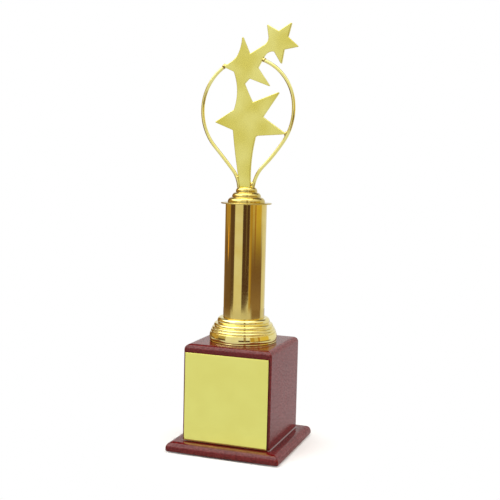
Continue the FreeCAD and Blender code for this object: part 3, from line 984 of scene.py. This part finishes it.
# ---- the object ----
def build():
    along_x = lacquered_wood("lacquered_wood_x", (14, 420, 420))
    upright = lacquered_wood("lacquered_wood_z", (420, 420, 14))
    dress(felt_pad(), felt_cloth(), "felt")
    dress(plinth(), along_x, "lacquered_wood")
    for quarter_turns in range(4):
        dress(wall(quarter_turns), upright, "lacquered_wood")
    dress(block_cap(), along_x, "lacquered_wood")
    dress(lacquer_bead(), bead_lacquer(), "lacquer_bead")
    dress(name_plate(), plate_gold(), "plate_gold")
    dress(collar(), turned_gold_painted_light(), "polished_gold")
    dress(sleeve(), tube_gold(), "column_gold")
    # the riser and the flange disc take the darker copy of the gold: painted shade
    top_gold_painted_shade = riser_gold_painted_shade()
    dress(flange_disc(), top_gold_painted_shade, "polished_gold")
    dress(riser(), top_gold_painted_shade, "polished_gold")
    dress(joined_stars(), star_gold(), "satin_gold")
    bright_rods = rod_gold()
    for rod in RODS:
        dress(bent_rod(*rod), bright_rods, "rod_gold")
    dress(solder_lumps(), solder_gold(), "solder")
    steel, plastic, wood = zinc_steel(), moulded_plastic(), raw_wood()
    # CAD nodes inside the trophy, shown as they are
    hidden = {
        "plinth_screws": steel,
        "corner_glue_blocks": wood,
        "plate_tape_strips": foam_tape(),
        "column_lower_plug": plastic,
        "column_upper_plug": plastic,
        "figure_boss": turned_brass(),
        "boss_pin": steel,
        "tie_rod": steel,
        "tie_rod_washer": steel,
        "tie_rod_nut": steel,
    }
    for node, material in hidden.items():
        dress(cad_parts[node], material)


# ---- studio ----
# What the polished gold reflects: a pale studio with darker gaps between its screens. Each
# patch is (azimuth, half width, softness, lowest and highest elevation, softness, taper,
# colour), with angles in degrees, azimuth 0 in front of the plate and 90 to its right. The
# taper is how far above its lowest elevation a gap reaches its full width, from its left
# edge. A later patch covers an earlier one.
STUDIO_BASE = (0.86, 0.86, 0.84)
STUDIO_BANDS = [
    (-95, 27, 8, -60, 28, 8, 0, (0.55, 0.36, 0.11)),  # amber screen, left
    (-128, 14, 8, -60, 28, 8, 0, (0.28, 0.15, 0.04)),  # its shaded far end
    (-58.5, 15.5, 6, -10.2, 34, 10, 1.4, (0.50, 0.40, 0.20)),  # dim wall over the gap
    (-58.5, 15.5, 6, -10.2, 1.5, 3, 1.4, (0.13, 0.075, 0.055)),  # gap, left
    (23.5, 19.5, 5, -9.9, 3, 1.5, 1.5, (0.10, 0.055, 0.045)),  # gap round the camera
    (25, 3, 3, -7.5, 3, 1.5, 2, (0.19, 0.14, 0.09)),  # lighter streak in it
    (51.5, 8.5, 6, -60, 24, 8, 0, (0.55, 0.36, 0.08)),  # amber screen, right
    (67, 7, 4, -60, 24, 8, 0, (0.68, 0.53, 0.22)),  # its pale fold
    (76, 4, 3, -60, 24, 8, 0, (0.48, 0.22, 0.03)),  # its dark fold
    (98, 19, 8, -60, 24, 8, 0, (0.76, 0.57, 0.12)),  # its bright far end
    (90, 36, 10, -60, -4.6, 2.2, 0, (0.20, 0.115, 0.075)),  # dark floor, right
    (88, 32, 12, -60, -8.6, 2.4, 0, (0.42, 0.29, 0.19)),  # where it is nearer
    (-92, 26, 10, -60, -4.0, 1.2, 0, (0.19, 0.115, 0.075)),  # dark floor, left
    (-88, 4, 5, -5.6, -3.7, 0.5, 0, (1.15, 0.62, 0.14)),  # warm lamp, low on the left
    (27, 86, 8, 34, 68, 6, 0, (1.25, 1.23, 1.17)),  # bright ceiling in front
    (25, 4, 4, 0, 56, 4, 0, (0.36, 0.25, 0.12)),  # lamp stand in front
    (195, 55, 20, 30, 66, 6, 0, (0.16, 0.12, 0.09)),  # above the backdrop
    (-60, 37, 7, 25, 80, 6, 0, (3.4, 3.35, 3.2)),  # soft lamp, front left
]
OVERHEAD = (2.2, 2.2, 2.15)
OVERHEAD_ELEVATION, OVERHEAD_SOFTNESS = 61, 5
TAPERED_FOOT = 1              # degrees over which a tapered gap fades in at its foot
BACKDROP = (1.0, 1.0, 1.0)
TABLE_RADIUS = 0.82
TABLE_FADE = (0.045, 0.13)    # the radii between which its shading gives way to its glow
TABLE_GLOW = (0.77, 0.77, 0.77)
# Azimuth, half width and softness of a darker sector, and the radii it fades in between.
TABLE_SHADES = [(92, 32, 16, 0.62, 0.74), (-90, 30, 16, 0.65, 0.76), (-150, 36, 12, 0.1, 0.3)]
SHADE_DULL, SHADE_GLOW = (0.20, 0.14, 0.10), (0.28, 0.18, 0.11)


def azimuth_of(tree, parts):
    """Azimuth of a direction or a place, in radians, from its separate coordinates."""
    return math_node(tree, "ARCTAN2", parts[0], math_node(tree, "MULTIPLY", parts[1], -1.0))


def band(tree, azimuth, middle, half, soft):
    """1 inside a sector of azimuths and 0 outside it. The middle and the half width are in
    radians and may be sockets, and the softness is in degrees."""
    away = math_node(tree, "ARCCOSINE", math_node(tree, "COSINE", math_node(
        tree, "SUBTRACT", azimuth, middle)))
    past = math_node(tree, "SUBTRACT", away, half)
    return span(tree, past, -math.radians(soft / 2), math.radians(soft / 2), 1, 0, smooth=True)


def studio_world():
    """What the trophy reflects, and a plain backdrop to the eye."""
    world = bpy.data.worlds.new("studio")
    bpy.context.scene.world = world
    world.use_nodes = True
    tree = world.node_tree
    direction = put(tree, "ShaderNodeTexCoord").outputs["Generated"]
    parts = put(tree, "ShaderNodeSeparateXYZ", {0: direction}).outputs
    azimuth = azimuth_of(tree, parts)
    level = math_node(tree, "ARCSINE", parts[2])
    up = span(tree, level, math.radians(OVERHEAD_ELEVATION - OVERHEAD_SOFTNESS),
              math.radians(OVERHEAD_ELEVATION + OVERHEAD_SOFTNESS), 0, 1, smooth=True)
    colour = mixed(tree, up, STUDIO_BASE, OVERHEAD)
    for middle, half, soft, low, high, level_soft, taper, tint in STUDIO_BANDS:
        low, high, level_soft = (math.radians(a) for a in (low, high, level_soft))
        middle, width = math.radians(middle), math.radians(half)
        if taper:
            left = middle - width
            width = span(tree, level, low, low + math.radians(taper), 0, width)
            middle = math_node(tree, "ADD", left, width)
            above = span(tree, level, low, low + math.radians(TAPERED_FOOT), 0, 1)
        else:
            above = span(tree, level, low - level_soft, low + level_soft, 0, 1, smooth=True)
        below = span(tree, level, high - level_soft, high + level_soft, 1, 0, smooth=True)
        mask = math_node(tree, "MULTIPLY", band(tree, azimuth, middle, width, soft),
                         math_node(tree, "MULTIPLY", above, below))
        colour = mixed(tree, mask, colour, tint)
    seen = put(tree, "ShaderNodeLightPath").outputs["Is Camera Ray"]
    colour = mixed(tree, seen, colour, BACKDROP)
    background = tree.nodes["Background"]
    tree.links.new(colour, background.inputs["Color"])
    background.inputs["Strength"].default_value = 1.0


def table():
    """Round pale table top. Close to the trophy it takes shadows, and further out it glows
    as the backdrop does. It is duller in reflections, and darker in some directions."""
    work = bmesh.new()
    bmesh.ops.create_circle(work, cap_ends=True, segments=256, radius=TABLE_RADIUS)
    mesh = bpy.data.meshes.new("table_top")
    work.to_mesh(mesh)
    work.free()
    floor = add_object("table_top", mesh)
    material, tree, shader = new_material("table_white")
    point = object_point(tree)
    parts = put(tree, "ShaderNodeSeparateXYZ", {0: point}).outputs
    azimuth = azimuth_of(tree, parts)
    seen = put(tree, "ShaderNodeLightPath").outputs["Is Camera Ray"]
    paper = speckle(tree, 700, detail=3)
    away = put(tree, "ShaderNodeVectorMath", {0: point}, operation="LENGTH").outputs["Value"]
    fade = span(tree, away, *TABLE_FADE, 0, 1, smooth=True)
    dull = mixed(tree, paper, (0.50, 0.50, 0.50), (0.52, 0.52, 0.52))
    glow = TABLE_GLOW
    for middle, half, soft, near, far in TABLE_SHADES:
        shade = math_node(tree, "MULTIPLY", span(tree, away, near, far, 0, 1),
                          band(tree, azimuth, math.radians(middle), math.radians(half), soft))
        dull = mixed(tree, shade, dull, SHADE_DULL)
        glow = mixed(tree, shade, glow, SHADE_GLOW)
    bright = mixed(tree, paper, (0.86, 0.86, 0.86), (0.88, 0.88, 0.88))
    wire(tree, shader, base_color=mixed(tree, seen, dull, bright), roughness=0.9,
         specular_ior_level=0.1)
    glow = mixed(tree, seen, glow, BACKDROP)
    lit = put(tree, "ShaderNodeEmission", {"Color": glow})
    both = put(tree, "ShaderNodeMixShader", {0: fade, 1: shader.outputs[0],
                                             2: lit.outputs[0]})
    tree.links.new(both.outputs[0], tree.nodes["Material Output"].inputs["Surface"])
    mesh.materials.append(material)


def softbox(name, azimuth, elevation, distance, width, height, power, colour=(1, 1, 1)):
    """Area light that looks at the middle of the trophy."""
    light = bpy.data.lights.new(name, "AREA")
    light.shape = "RECTANGLE"
    light.size, light.size_y = width, height
    light.energy = power
    light.color = colour
    lamp = add_object(name, light)
    turn, rise = math.radians(azimuth), math.radians(elevation)
    out = Vector((math.sin(turn) * math.cos(rise), -math.cos(turn) * math.cos(rise),
                  math.sin(rise)))
    lamp.location = Vector((0, 0, TOTAL_HEIGHT / 2)) + out * distance
    lamp.rotation_mode = "QUATERNION"
    lamp.rotation_quaternion = out.to_track_quat("Z", "Y")
    return lamp


CAMERA_AZIMUTH, CAMERA_ELEVATION, CAMERA_ROLL = 19.35, 5.23, 1.38     # degrees
CAMERA_DISTANCE = 818.5 * MM
AIM_HEIGHT, AIM_RIGHT, AIM_DOWN = 186.667 * MM, 4.39 * MM, 4.10 * MM
FOCAL_LENGTH = 63.936


def camera():
    """Slightly above the column's top, a little to the right of the plate."""
    azimuth, elevation = math.radians(CAMERA_AZIMUTH), math.radians(CAMERA_ELEVATION)
    back = Vector((math.sin(azimuth) * math.cos(elevation),
                   -math.cos(azimuth) * math.cos(elevation), math.sin(elevation)))
    right = Vector((0, 0, 1)).cross(back).normalized()
    up = back.cross(right)
    aim = Vector((0, 0, AIM_HEIGHT)) + right * AIM_RIGHT - up * AIM_DOWN
    lens = bpy.data.cameras.new("camera")
    lens.lens = FOCAL_LENGTH
    lens.clip_start, lens.clip_end = 0.01, 100
    eye = add_object("camera", lens)
    roll = Matrix.Rotation(math.radians(CAMERA_ROLL), 3, back)
    turn = Matrix((roll @ right, roll @ up, back)).transposed().to_4x4()
    turn.translation = aim + back * CAMERA_DISTANCE
    eye.matrix_world = turn
    bpy.context.scene.camera = eye


build()
studio_world()
table()
softbox("overhead", azimuth=20, elevation=78, distance=1.1, width=0.9, height=0.9, power=2)
side_fill = softbox("side_fill", azimuth=96, elevation=12, distance=1.2, width=0.7, height=0.5,
                    power=8, colour=(1, 0.86, 0.8))
side_fill.visible_glossy = False          # it lights the wood, and the gold doesn't mirror it
camera()
bpy.context.scene.view_settings.view_transform = "Standard"
